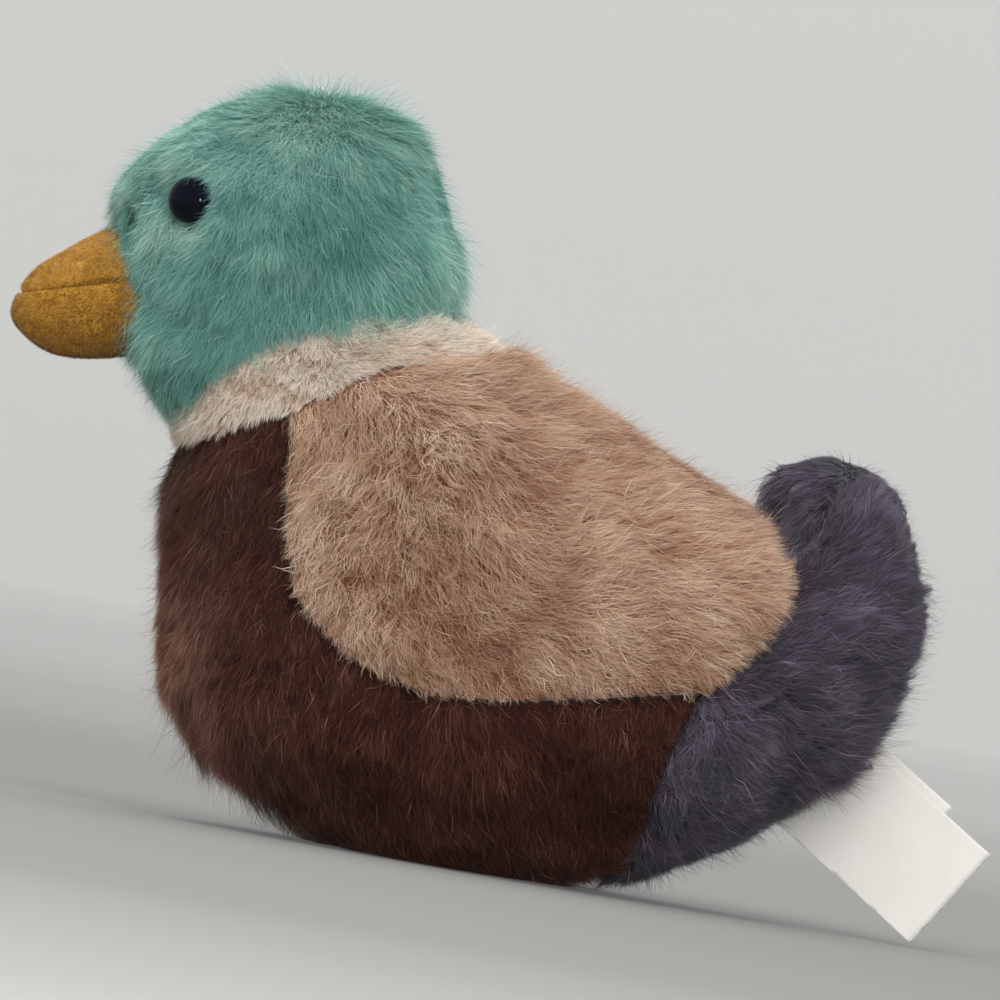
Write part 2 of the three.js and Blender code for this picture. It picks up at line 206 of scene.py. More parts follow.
world = bpy.data.worlds.new("studio")
bpy.context.scene.world = world
world.use_nodes = True
sky = world.node_tree.nodes["Background"].inputs
sky["Color"].default_value = (0.98, 0.99, 1, 1)
sky["Strength"].default_value = 0.56
for name, place, size, power, seen in [
    ("key_light", (1.1, -0.1, 1.3), 1.3, 17, False),
    ("top_light", (-0.6, -0.2, 1.6), 1.2, 9, False),
    ("fill_light", (1.3, -1.1, 0.35), 1.2, 5, False),
    ("small_lamp", (1.2, 0.36, 0.33), 0.17, 2.8, True),
]:
    panel_data = bpy.data.lights.new(name, "AREA")
    panel_data.size = size
    panel_data.energy = power
    panel_light = placed(name, panel_data)
    panel_light.location = place
    panel_light.visible_glossy = seen
    panel_light.rotation_euler = (photo_middle - Vector(place)).to_track_quat("-Z", "Y").to_euler()
bpy.context.scene.view_settings.view_transform = "Standard"

# The stuffed shape of the toy, firm polyester fill pressed against the cloth. One form of level rings makes
# the body, neck and head, and a second one the tail, on a spine that curls up and forward. Rows in mm:
# height, middle, half length, half width; and for the tail place, height, half thickness, half width.
toy_height = 110
body_length = 100
body_width = 67
tail_thickness = 37
tail_width = 44
base_cut = 0.5
body_rows = [
    (height * toy_height - base_cut, middle * body_length, length * body_length, width * body_width)
    for height, middle, length, width in [
        (0, -0.02, 0, 0), (0.003, -0.02, 0.14, 0.2), (0.068, 0.005, 0.305, 0.365), (0.177, 0.019, 0.461, 0.482),
        (0.305, 0.021, 0.499, 0.5), (0.432, 0.009, 0.501, 0.478), (0.527, -0.069, 0.444, 0.42),
        (0.609, -0.19, 0.375, 0.355), (0.682, -0.299, 0.299, 0.307), (0.745, -0.386, 0.234, 0.31),
        (0.823, -0.41, 0.243, 0.34), (0.914, -0.4, 0.2, 0.3), (0.975, -0.39, 0.12, 0.19), (1, -0.39, 0, 0)]
]
tail_rows = [
    (place * body_length, height * toy_height - base_cut, thickness * tail_thickness, width * tail_width)
    for place, height, thickness, width in [
        (0.12, 0.28, 0, 0), (0.2, 0.275, 0.42, 0.42), (0.36, 0.3, 0.5, 0.5), (0.475, 0.41, 0.35, 0.43),
        (0.5, 0.515, 0.265, 0.35), (0.462, 0.585, 0.19, 0.27), (0.38, 0.607, 0, 0)]
]
form_sides = 96
form_steps = 140
tiny = 1e-9
outside = 90


def along_rows(rows, shares):
    """The smooth path through rows whose end rows are poles: past a pole the half sizes turn negative."""
    over_pole = [1, 1, -1, -1]
    ways = np.array([np.multiply(rows[1], over_pole), *rows, np.multiply(rows[-2], over_pole)], float)
    last = len(rows) - 1
    interval = np.minimum((shares * last).astype(int), last - 1)
    t = (shares * last - interval)[:, None]
    before, start, end, after = (ways[interval + k] for k in range(4))
    leaving, arriving = (end - before) / 2, (after - start) / 2
    return start + t * (leaving + t * (3 * (end - start) - 2 * leaving - arriving
                                       + t * (leaving + arriving - 2 * (end - start))))


class Form:
    """A closed form of rings that a panel is dressed on: it gives the nearest place and the way out there."""

    def __init__(self, rows, level, place=Matrix.Identity(4)):
        shares = np.linspace(0, 1, form_steps + 1)
        first, second, half, width = along_rows(rows, shares).T
        turn = np.linspace(0, 2 * math.pi, form_sides, endpoint=False)
        if level:
            centre = np.stack([second, first], 1)
            ways = np.tile([1.0, 0.0], (len(shares), 1))
        else:
            centre = np.stack([first, second], 1)
            run = np.gradient(centre, axis=0)
            run /= np.linalg.norm(run, axis=1)[:, None]
            ways = np.stack([run[:, 1], -run[:, 0]], 1)
        in_plane = centre[:, None] + ways[:, None] * (half[:, None] * np.cos(turn))[..., None]
        across = np.abs(width)[:, None] * np.sin(turn)
        grid = np.concatenate([across[..., None], in_plane], 2)
        grid = grid @ np.array(place.to_3x3()).T + np.array(place.translation)
        faces = [(r * form_sides + s, r * form_sides + (s + 1) % form_sides,
                  (r + 1) * form_sides + (s + 1) % form_sides, (r + 1) * form_sides + s)
                 for r in range(form_steps) for s in range(form_sides)]
        self.places = grid.reshape(-1, 3)
        around = np.roll(grid, -1, 1) - np.roll(grid, 1, 1)
        upward = np.gradient(grid, axis=0)
        out = np.cross(around, upward)
        out[0], out[-1] = out[1].mean(0), out[-2].mean(0)
        out /= np.linalg.norm(out, axis=2)[..., None]
        middle = grid.mean(1, keepdims=True)
        if (out[form_steps // 2] * (grid - middle)[form_steps // 2]).sum() < 0:
            out = -out
        self.ways = out.reshape(-1, 3)
        self.faces = faces
        self.tree = BVHTree.FromPolygons(self.places.tolist(), faces)

    def nearest(self, point):
        place, _, face, _ = self.tree.find_nearest(point)
        corners = self.faces[face]
        a, b, c = (Vector(self.places[i]) for i in corners[:3])
        if (b - a).cross(c - a).length < tiny:
            b, c = Vector(self.places[corners[2]]), Vector(self.places[corners[3]])
            corners = (corners[0], corners[2], corners[3])
        if (b - a).cross(c - a).length < tiny:
            return place, Vector(self.ways[corners[0]])
        way = barycentric_transform(place, a, b, c, *(Vector(self.ways[i]) for i in corners[:3]))
        return place, way.normalized()

    def on_side(self, side, place, height):
        """The same for a place along and a height on the toy's left or right side."""
        return self.nearest(self.tree.ray_cast((outside * side, place, height), (-side, 0, 0))[0])


body_form = Form(body_rows, level=True)
tail_form = Form(tail_rows, level=False)

# A panel of the skin: its cut cloth with its backing, taken from the solid and drawn smoothly over the forms.
# Each seam turns in, so the cloth dips towards its edges. Values in mm.
pile_cloth = 1.2
seam_dip = 0.45
seam_reach = 1.6
longest_edge = 2.2
panel_rounds = 5
welded = 0.005
topmost = 0.01
far_off = 9


def cut_cloth(name, node):
    """A solid's mesh as a new piece, and the same mesh opened for work in mm."""
    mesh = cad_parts[node].data.copy()
    mesh.materials.clear()
    piece = placed(name, mesh)
    cut = bmesh.new()
    cut.from_mesh(mesh)
    bmesh.ops.scale(cut, vec=(1000, 1000, 1000), verts=cut.verts)
    bmesh.ops.remove_doubles(cut, verts=cut.verts, dist=welded)
    return piece, cut


def split(cut, longest, rounds):
    """Edges over the longest length are halved, some rounds over."""
    for _ in range(rounds):
        long_edges = [e for e in cut.edges if e.calc_length() > longest]
        if long_edges:
            bmesh.ops.subdivide_edges(cut, edges=long_edges, cuts=1)
            bmesh.ops.triangulate(cut, faces=cut.faces)


def put_back(piece, cut):
    """The worked mesh goes back into its piece, in metres, drawn smooth."""
    bmesh.ops.scale(cut, vec=(mm, mm, mm), verts=cut.verts)
    cut.to_mesh(piece.data)
    cut.free()
    piece.data.shade_smooth()


def sewn_panel(name, node, forms, cloth, dip, reach, longest, drawn_shut=None):
    """The cloth of one panel, from its solid, and its outer faces for the pile: corners and ways out."""
    piece, cut = cut_cloth(name, node)
    depth = cut.verts.layers.float.new("depth")

    def sunk(vertex):
        found = []
        for form in forms:
            place, way = form.nearest(vertex.co)
            found.append(((place - vertex.co).dot(way), place, way))
        return found

    cut.normal_update()
    for vertex in cut.verts:
        way = max(sunk(vertex), key=lambda found: found[0])[2]
        vertex[depth] = float(sum(f.normal.dot(way) * f.calc_area() for f in vertex.link_faces) < 0)
    split(cut, longest, panel_rounds)
    outer = [v for v in cut.verts if v[depth] < topmost]
    rim = [v for v in outer if any(e.other_vert(v)[depth] > topmost for e in v.link_edges)]
    rim_tree = KDTree(len(rim))
    for i, vertex in enumerate(rim):
        rim_tree.insert(vertex.co, i)
    rim_tree.balance()
    ways = {}
    for vertex in cut.verts:
        sink = vertex[depth] * cloth
        _, place, way = min(sunk(vertex), key=lambda found: abs(found[0] - sink))
        to_rim = rim_tree.find(vertex.co)[2] if rim else far_off
        if vertex[depth] < topmost:
            sink = dip * math.exp(-to_rim / reach)
        ways[vertex.index] = (place - way * sink, way)
    cut.verts.index_update()
    for vertex in cut.verts:
        place = ways[vertex.index][0] if vertex.index in ways else vertex.co
        floor_level = cloth * vertex[depth]
        vertex.co = Vector((place.x, place.y, max(place.z, floor_level)))
        if drawn_shut is not None:
            vertex.co = drawn_shut(vertex.co)
    cut.verts.ensure_lookup_table()
    outer_faces = [f for f in cut.faces if all(v[depth] < topmost for v in f.verts)]
    piece_roots = {
        "corners": np.array([[v.co[:] for v in f.verts] for f in outer_faces]),
        "ways": np.array([[ways[v.index][1][:] for v in f.verts] for f in outer_faces]),
    }
    put_back(piece, cut)
    piece.data.attributes.remove(piece.data.attributes["depth"])
    return piece, piece_roots


def backing(name, colour):
    """The knitted backing that the pile stands in: rows of fine loops, seen only between the strands."""
    finish = Finish(name, roughness=0.95, sheen_weight=0.2)
    dark = tuple(0.75 * c for c in colour)
    tone = finish.mixed(finish.noise(120, 3), (*dark, 1), (*colour, 1))
    return finish.feed(base_color=tone, normal=finish.bump(finish.noise(900, 2), 0.6, 0.0003))


def pile_finish(name, tones, painted_root_shade, **fixed):
    """Pile fibres. Across the map goes each strand's own shade, and up the map the place along the strand.
    Towards the root the colour is multiplied darker, painted shade deep in the pile.
    """
    finish = Finish(name, **{"roughness": 0.7, "specular_ior_level": 0.3, "sheen_weight": 0.6,
                             "sheen_roughness": 0.35, **fixed})
    place = finish.node("ShaderNodeUVMap", {"uv_map": "OFBake"}, {})
    height = finish.part(place, 1)
    # Painted shade: each strand darkens towards its root.
    fed = finish.mixed(1, finish.ramp(finish.part(place, 0), tones), finish.ramp(height, painted_root_shade), "MULTIPLY")
    return finish.feed(base_color=fed, roughness=0.85 - 0.2 * height)


def drift(points, size, seed):
    """A smooth random value of about -1 to 1 that changes over a distance of about size."""
    draws = np.random.default_rng(seed)
    waves = draws.normal(size=(14, 3)) * (2 * math.pi / size / 1.8)
    return np.sin(points @ waves.T + draws.uniform(0, 2 * math.pi, 14)).sum(1) / math.sqrt(7)


def unit(vectors):
    return vectors / np.maximum(np.linalg.norm(vectors, axis=-1), tiny)[..., None]


parting_width = 12
clear_lie = 0.6


def combed(points, ways, strokes, reach, spread, fallback):
    """The way the pile lies: a blend of the nearest comb strokes (place, height, way along, way up)."""
    strokes = np.array(strokes, float)
    gap = ((points[:, None, 1:] - strokes[None, :, :2]) ** 2).sum(2)
    weight = np.exp(-(gap - gap.min(1, keepdims=True)) / (2 * reach * reach))
    way = (weight[..., None] * strokes[None, :, 2:]).sum(1) / weight.sum(1, keepdims=True)
    lie = np.concatenate([np.zeros((len(points), 1)), way], 1)
    lie[:, 0] += np.clip(points[:, 0] / parting_width, -1, 1) * spread * np.clip(ways[:, 2], 0, 1)
    flat = lie - (lie * ways).sum(1)[:, None] * ways
    other = np.asarray(fallback, float) - (ways @ np.asarray(fallback, float))[:, None] * ways
    short = np.clip(1 - np.linalg.norm(flat, axis=1) / clear_lie, 0, 1)[:, None]
    return unit(flat + other * short)


def turned(vectors, axes, angle):
    """Vectors turned about axes square to them."""
    return vectors * np.cos(angle)[:, None] + np.cross(axes, vectors) * np.sin(angle)[:, None]


def patches(*spots):
    """A change that fades away round some spots on the toy's side: place, height, reach, amount."""
    def amount(points):
        change = np.zeros(len(points))
        for place, height, reach, most in spots:
            gap = (points[:, 1] - place) ** 2 + (points[:, 2] - height) ** 2
            change += most * np.exp(-gap / (2 * reach * reach))
        return change
    return amount


def neighbours(panels):
    """The solids of some pairs of panels as one tree that finds the nearest place on them, in mm."""
    corners, faces = [], []
    for node in [panel + side for panel in panels for side in ("_left", "_right")]:
        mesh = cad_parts[node].data
        start = len(corners)
        corners += [vertex.co * 1000 for vertex in mesh.vertices]
        faces += [[start + i for i in face.vertices] for face in mesh.polygons]
    return BVHTree.FromPolygons(corners, faces)


# The pile, grown over a panel. A strand whose root lies under a bead, the bill or the dent is left out, and one
# that would run into it ends there. The pile stays clear of the floor. Values in mm, the last three as shares.
under_cloth = 0.6
over_cloth = 0.8
tallest_strand = 7
look_ahead = 14
floor_clear = 0.25
tip_spread = 0.25
loose_hold = 0.1
map_margin = 0.02


def grown_pile(name, roots, count, seed, strokes, length, lift, width=0.085, segments=2, clump=1.1,
               gather=0.22, wander=0.2, fray=0.26, curl=0.0, reach=8, spread=0.0, fallback=(0, 0.2, -1),
               next_to=(), overhang=2.5, hang=0.0, keep_off=(), shade_at=None, length_at=None,
               lift_at=None, loose_at=None, shaded_pits_at=None, over_at=None, guard=0.14, guard_shade=0.24,
               flyaway=0.08, lock_fray=0.2, lock_shade=0.05):
    """Pile as tapered strips, rooted all over a panel and gathered in locks. Values in mm and degrees. Next to
    another colour a strand hangs over the seam by the overhang, and it ends just past what it is to keep off.
    The patches of _at change the shade, length, lift, looseness, pits and overhang from place to place. In the
    pits the strands are shorter and painted darker, painted shade; the shade patches paint light and shade in
    places."""
    draws = np.random.default_rng(seed)
    corners, ways = roots["corners"], roots["ways"]
    area = np.linalg.norm(np.cross(corners[:, 1] - corners[:, 0], corners[:, 2] - corners[:, 0]), axis=1) / 2
    locks = max(int(area.sum() / clump ** 2), 8)

    def rooted(number):
        face = draws.choice(len(area), number, p=area / area.sum())
        share = draws.dirichlet((1, 1, 1), number)[..., None]
        return (corners[face] * share).sum(1), unit((ways[face] * share).sum(1))

    places, out = rooted(count)
    free = np.ones(count, bool)
    for tree, _, near in keep_off:
        for i in np.nonzero(np.linalg.norm(places - near[0], axis=1) < near[1])[0]:
            free[i] &= tree.ray_cast(places[i] - under_cloth * out[i], out[i], tallest_strand)[0] is None
    places, out = places[free], out[free]
    count = len(places)
    lock_places, lock_out = rooted(locks)
    tree = KDTree(locks)
    for i, place in enumerate(lock_places):
        tree.insert(place, i)
    tree.balance()
    mine = np.array([tree.find(place)[1] for place in places])

    def bent(points, normals, tall, own, nearby, raised):
        lie = combed(points, normals, strokes, reach, spread, fallback)
        loose = 1 + (loose_at(points) if loose_at is not None else np.zeros(len(points)))
        lie = turned(lie, normals, wander * drift(points, 14, seed + 1)
                     + 0.7 * wander * drift(points, 4, seed + 2) + own * loose)
        rise_start, rise_end = (math.radians(v) for v in lift)
        rise_start = rise_start * (1 + 0.2 * drift(points, 9, seed + 3)) + draws.normal(0, 0.14, len(points))
        if lift_at is not None:
            rise_start = rise_start * (1 + lift_at(points))
        rise_start = rise_start * (1 - hang * np.exp(-nearby / 4)) + raised
        for barrier, overlap, near in keep_off if own is not None else ():
            for i in np.nonzero(np.linalg.norm(points - near[0], axis=1) < near[1] + 4)[0]:
                met = barrier.ray_cast(points[i] + over_cloth * normals[i], lie[i], look_ahead)[3]
                if met is not None:
                    tall[i] = min(tall[i], met + overlap * (0.7 + 0.6 * draws.random()))
        side = np.cross(normals, lie)
        phase = draws.uniform(0, 2 * math.pi, len(points))
        swing = curl * loose * draws.uniform(0.4, 1.2, len(points))
        path = [points]
        step = tall / segments
        for i in range(segments):
            s = (i + 0.5) / segments
            rise = rise_start + (rise_end + raised - rise_start) * s ** 0.7
            way = lie * np.cos(rise)[:, None] + normals * np.sin(rise)[:, None]
            way = way + side * (swing * np.cos(phase + s * 5.5))[:, None]
            way = way + normals * (0.6 * swing * np.sin(phase + s * 5.5))[:, None]
            path.append(path[-1] + unit(way) * step[:, None])
        return np.stack(path, 1)

    tall = length * (1 + 0.08 * drift(places, 7, seed + 4)) * draws.uniform(0.7, 1.1, count)
    outer = draws.random(count) < guard
    stray = draws.random(count) < flyaway
    tall = np.where(stray, tall * 1.25, tall)
    lock_tall = length * (1 + 0.08 * drift(lock_places, 7, seed + 4))
    if length_at is not None:
        tall = tall * (1 + length_at(places))
        lock_tall = lock_tall * (1 + length_at(lock_places))
    if shaded_pits_at is not None:
        shaded_pits = shaded_pits_at(places) * np.clip(drift(places, 2.4, seed + 8) - 0.3, 0, 1)
        tall = tall * (1 - 0.5 * shaded_pits)
    over = overhang * draws.uniform(0.5, 1.5, locks)
    if over_at is not None:
        over = over * (1 + over_at(lock_places))
    nearby, lock_nearby = np.full(count, 99.0), np.full(locks, 99.0)
    if next_to:
        beside = neighbours(next_to)
        nearby = np.array([beside.find_nearest(place)[3] for place in places])
        tall = np.minimum(tall, nearby + over[mine] * draws.uniform(0.75, 1.25, count))
        lock_nearby = np.array([beside.find_nearest(place)[3] for place in lock_places])
        lock_tall = np.minimum(lock_tall, lock_nearby + over)
    strands = bent(places, out, tall, draws.normal(0, fray, count) * np.where(outer | stray, 1.8, 1), nearby,
                   0.45 * stray)
    lock_lines = bent(lock_places, lock_out, lock_tall, draws.normal(0, lock_fray, locks), lock_nearby, 0)
    hold = np.clip(gather * (1 + 0.5 * drift(lock_places, 6, seed + 5)), 0.05, 0.92)[mine]
    hold = np.where(outer | stray, loose_hold, hold)
    for i in range(1, segments + 1):
        s = i / segments
        pull = (hold * s ** 0.8)[:, None]
        meet = lock_lines[mine, i] + tip_spread * (places - lock_places[mine])
        strands[:, i] = strands[:, i] * (1 - pull) + meet * pull
    strands[..., 2] = np.maximum(strands[..., 2], floor_clear + 0.1 * draws.random(count)[:, None])

    run = np.gradient(strands, axis=1)
    twist = draws.normal(0, 0.4, count)
    face_way = turned(out, unit(run.mean(1)), twist)
    side = unit(np.cross(run, face_way[:, None]))
    thick = (width * draws.uniform(0.7, 1.25, count) * np.where(outer, 1.2, np.where(stray, 0.65, 1)))[:, None]
    taper = 1 - np.linspace(0, 1, segments + 1)[None, :] ** 1.6
    half = side * (thick * taper / 2)[..., None]
    pairs = np.stack([strands - half, strands + half], 2)[:, :segments].reshape(count, -1, 3)
    vertices = np.concatenate([pairs, strands[:, -1:]], 1)
    per = 2 * segments + 1
    first = np.arange(count)[:, None] * per
    quads = np.concatenate([first + 2 * i + np.array([0, 1, 3, 2]) for i in range(segments - 1)], 1)
    tip = first + 2 * (segments - 1) + np.array([0, 1, 2])
    loops = np.concatenate([quads, tip], 1)
    starts = np.arange(count)[:, None] * loops.shape[1] + np.arange(segments) * 4
    mesh = bpy.data.meshes.new(name)
    mesh.vertices.add(count * per)
    mesh.vertices.foreach_set("co", (vertices * mm).astype(np.float32).ravel())
    mesh.loops.add(loops.size)
    mesh.loops.foreach_set("vertex_index", loops.astype(np.int32).ravel())
    mesh.polygons.add(starts.size)
    mesh.polygons.foreach_set("loop_start", starts.astype(np.int32).ravel())
    mesh.update(calc_edges=True)

    shade = 0.42 + 0.06 * drift(places, 10, seed + 6) + 0.05 * drift(places, 3, seed + 7)
    shade = shade + draws.normal(0, lock_shade, locks)[mine] + draws.normal(0, 0.15, count) + guard_shade * outer
    if shade_at is not None:
        shade = shade + shade_at(places)
    # Painted shade: strands in the pits are darker as well as shorter.
    if shaded_pits_at is not None:
        shade = shade - 0.5 * shaded_pits
    shade = np.clip(shade, map_margin, 1 - map_margin)
    level = np.append(np.repeat(np.arange(segments) / segments, 2), 1.0) * (1 - 2 * map_margin) + map_margin
    which = (loops - first) % per
    uv = np.stack([np.broadcast_to(shade[:, None], which.shape), level[which]], 2)
    layer = mesh.uv_layers.new(name="OFBake")
    layer.data.foreach_set("uv", uv.astype(np.float32).ravel())
    mesh.shade_smooth()
    return placed(name, mesh)


def dressed(node, slot, backing_material, pile_material, count, fill=0.85, **pile):
    """One panel of the skin with its pile, in place of its solid."""
    skin, roots = sewn_panel(node + "_cloth", node, [body_form, tail_form], pile_cloth, seam_dip, seam_reach,
                             longest_edge)
    skin.data.materials.append(backing_material)
    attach(skin, "root")
    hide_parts(node)
    fur = grown_pile(node + "_pile", roots, count, **pile)
    fur.data.materials.append(pile_material)
    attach(fur, "root")


# The bill: two shells of brushed mustard suede, sewn together along the mouth and stuffed firm, with a short
# soft nap. Its open end is sewn to the face under the teal pile. Rows in mm along the bill: place, middle,
# half height, half width.
bill_length = 18
bill_height = 20
bill_width = 19.5
bill_droop = 15.8
bill_rows = [
    (place * bill_length, middle * bill_height, height * bill_height, width * bill_width)
    for place, middle, height, width in [
        (-0.6, 0.06, 0, 0), (-0.35, 0.05, 0.5, 0.5), (0, 0.03, 0.493, 0.49), (0.45, -0.035, 0.41, 0.45),
        (0.78, -0.055, 0.285, 0.34), (1, -0.07, 0, 0)]
]
bill_root = Vector((0, -0.62 * body_length, 0.7 * toy_height - base_cut))
bill_place = Matrix.Translation(bill_root) @ Matrix.Rotation(math.radians(90 + bill_droop), 4, "X")
bill_form = Form(bill_rows, True, bill_place)
suede_cloth = 1
suede_edge = 0.9
mouth_dip = 0.14
mouth_reach = 0.7
suede = Finish("mustard_suede_nap", roughness=0.92, sheen_weight=0.45, sheen_roughness=0.4,
               sheen_tint=(*linear(235, 200, 120), 1), specular_ior_level=0.2)
suede_grain = suede.noise(2600, 4, 0.65)
suede_patches = suede.noise(420, 3, 0.6)
suede_tone = suede.ramp(suede_grain, [
    (0.3, linear(148, 100, 32)), (0.5, linear(188, 140, 54)), (0.68, linear(216, 170, 76))])
suede_worn = suede.ramp(suede_patches, [(0.35, linear(176, 120, 44)), (0.62, linear(216, 162, 66))])
suede.feed(base_color=suede.mixed(0.5, suede_tone, suede_worn), normal=suede.bump(suede_grain, 0.55, 0.00025))
nap = pile_finish(
    "mustard_nap_strands",
    [(0, linear(116, 68, 18)), (0.5, linear(196, 146, 58)), (1, linear(242, 202, 112))],
    [(0, 0.82), (0.6, 0.97), (1, 1)])
nap_strands = 30000
nap_strokes = [(-70, 78, -0.9, -0.4), (-70, 70, -0.9, -0.4)]
# Painted highlight and shade on the nap: lighter on top of the bill, darker towards its underside.
nap_painted_highlight_and_shade = patches((-64, 65, 9, -1.0), (-72, 82, 8, 0.3))
mouth_height = 1.6
mouth_gap = 0.3
shut_gap = 0.02
mouth_line = (Vector((-76.6, 73.7)), Vector((-62.9, 78.6)))
mouth_fade = 5
crease_width = 0.45
crease_painted_shade = 0.45


def shut(corner):
    """A corner of a shell beside the mouth, drawn up to its seam."""
    across = bill_place.inverted() @ corner
    gap = across.y - mouth_height
    if abs(gap) < mouth_gap:
        across.y = mouth_height + math.copysign(shut_gap, gap)
    return bill_place @ across


def nap_painted_shading(points):
    """The nap's painted shade: darker in the crease of the mouth and towards the underside of the bill, with a
    painted highlight on top.
    """
    start, end = (np.array(corner) for corner in mouth_line)
    run = (end - start) / np.linalg.norm(end - start)
    away = points[:, 1:] - start
    beside = away[:, 1] * run[0] - away[:, 0] * run[1]
    fade = np.clip((away @ run) / mouth_fade, 0, 1)
    return nap_painted_highlight_and_shade(points) - crease_painted_shade * fade * np.exp(-(beside / crease_width) ** 2)


for half, seed in [("bill_upper", 61), ("bill_lower", 62)]:
    shell, shell_roots = sewn_panel(half + "_shell", half, [bill_form], suede_cloth, mouth_dip, mouth_reach,
                                    suede_edge, shut)
    shell.data.materials.append(suede.material)
    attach(shell, "root")
    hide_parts(half)
    fuzz = grown_pile(half + "_nap", shell_roots, nap_strands, seed, nap_strokes, length=0.6, lift=(52, 30),
                      width=0.045, clump=0.7, gather=0.2, fray=1.1, lock_fray=0.5, wander=0.1, lock_shade=0.08,
                      fallback=(0, 0, -1), shade_at=nap_painted_shading)
    fuzz.data.materials.append(nap)
    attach(fuzz, "root")

# The eyes: moulded beads of glossy, nearly black plastic, a low dome on a thin rim. Each has a shank that goes
# through the cloth into a washer. Profile in mm: radius and height over the cloth.
eye_radius = 3.6
eye_place = -54.5
eye_level = 0.835 * toy_height - base_cut
dome_height = 2.7
rim_height = 1.2
shank_radius = 1.2
shank_length = 7
eye_turn = 0.7
bead_profile = [
    (shank_radius, -shank_length), (shank_radius, 0.3), (2.4, 0.1), (2.9, 0.25), (3.3, 0.6),
    (eye_radius, rim_height),
    *[(eye_radius * math.cos(angle), rim_height + dome_height * math.sin(angle))
      for angle in np.linspace(0, math.pi / 2, 12)[1:-1]], (0.02, rim_height + dome_height)]
beads = []
bead_finish = Finish("black_bead_gloss", specular_ior_level=0.13)
bead_tone = bead_finish.mixed(bead_finish.noise(350, 2), (0.001, 0.0015, 0.004, 1), (0.002, 0.004, 0.011, 1))
bead_rough = bead_finish.noise(900, 3)
bead_finish.feed(base_color=bead_tone, roughness=0.04 + 0.04 * bead_rough)
for side, side_name in [(1, "left"), (-1, "right")]:
    seat, way = body_form.on_side(side, eye_place, eye_level)
    way = (way + Vector((eye_turn * side, 0, 0))).normalized()
    bead = lathed("eye_bead_" + side_name, bead_profile, 64, "NGON")
    bpy.ops.mesh.merge(type="CENTER")
    bpy.ops.mesh.select_all(action="SELECT")
    bpy.ops.mesh.normals_make_consistent(inside=False)
    bpy.ops.object.mode_set(mode="OBJECT")
    bead.data.transform(Matrix.Translation(seat) @ way.to_track_quat("Z", "Y").to_matrix().to_4x4()
                        @ Matrix.Translation((0, 0, -shank_length)))
    beads.append((BVHTree.FromPolygons([v.co.copy() for v in bead.data.vertices],
                                       [list(f.vertices) for f in bead.data.polygons]), seat.copy()))
    bead.data.transform(Matrix.Scale(mm, 4))
    bead.matrix_world = Matrix.Identity(4)
    bpy.ops.object.shade_smooth_by_angle(angle=math.radians(50))
    bead.data.materials.append(bead_finish.material)
    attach(bead, "root")
    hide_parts("eye_" + side_name)

# The head: two sides and a strip over the crown, in teal pile of about 6 mm. It falls from a whorl on the crown,
# forward over the brow and down the cheeks, and hangs over the collar. It ends just over the bill's root and the
# rims of the eyes, and a small dent parts it between each eye and the bill. Its tone holds painted light,
# lighter on the brow, face, crown and back of the head, and painted shade, darker in the dents, the parting and
# low down.
head_strokes = [
    (-64, 96, -0.34, -0.94), (-55, 97, -0.1, -1), (eye_place, 91, 0, -1), (-56, 103, -0.5, -0.87),
    (-48, 106, -0.77, -0.64), (-40, 110, -0.6, 0), (-33, 110, 0.6, 0), (-25, 104, 0.9, -0.42),
    (-18, 95, 0.64, -0.77), (-15, 82, 0.34, -0.94), (-35, 90, 0.09, -1), (-35, 76, 0.26, -0.97),
    (-55, 82, -0.4, -0.92), (-62, 82, -0.85, -0.5), (-60, 75, -0.9, -0.4), (-60, 69, -0.7, -0.7),
    (-59, 64, -0.2, -0.97), (-56, 70, -0.25, -0.97), (-53, 60, 0, -1), (-45, 70, -0.1, -0.99),
    (-20, 72, 0.3, -0.95),
]
teal_backing = backing("teal_backing", linear(44, 84, 70))
teal_pile = pile_finish(
    "teal_pile_strands",
    [(0, linear(74, 128, 120)), (0.4, linear(116, 173, 161)), (0.7, linear(157, 204, 191)),
     (1, linear(208, 232, 222))],
    [(0, (0.5, 0.62, 0.62)), (0.4, (0.8, 0.86, 0.86)), (0.8, 1), (1, 1)], sheen_tint=(0.6, 0.9, 0.82, 1))
bill_cover, bill_near = 6.5, 20
bead_cover, bead_near = 4.2, 10
dent_cover, dent_near = 0.1, 9
dent_radius = 1.5
dent_place, dent_height = -62.8, 88.2
kept_bare = [(bill_form.tree, bill_cover, (bill_root, bill_near))]
kept_bare += [(tree, bead_cover, (seat, bead_near)) for tree, seat in beads]
for side in (1, -1):
    seat, way = body_form.on_side(side, dent_place, dent_height)
    ball = bmesh.new()
    bmesh.ops.create_icosphere(ball, subdivisions=2, radius=dent_radius, matrix=Matrix.Translation(seat + way))
    kept_bare.append((BVHTree.FromBMesh(ball), dent_cover, (seat, dent_near)))
    ball.free()
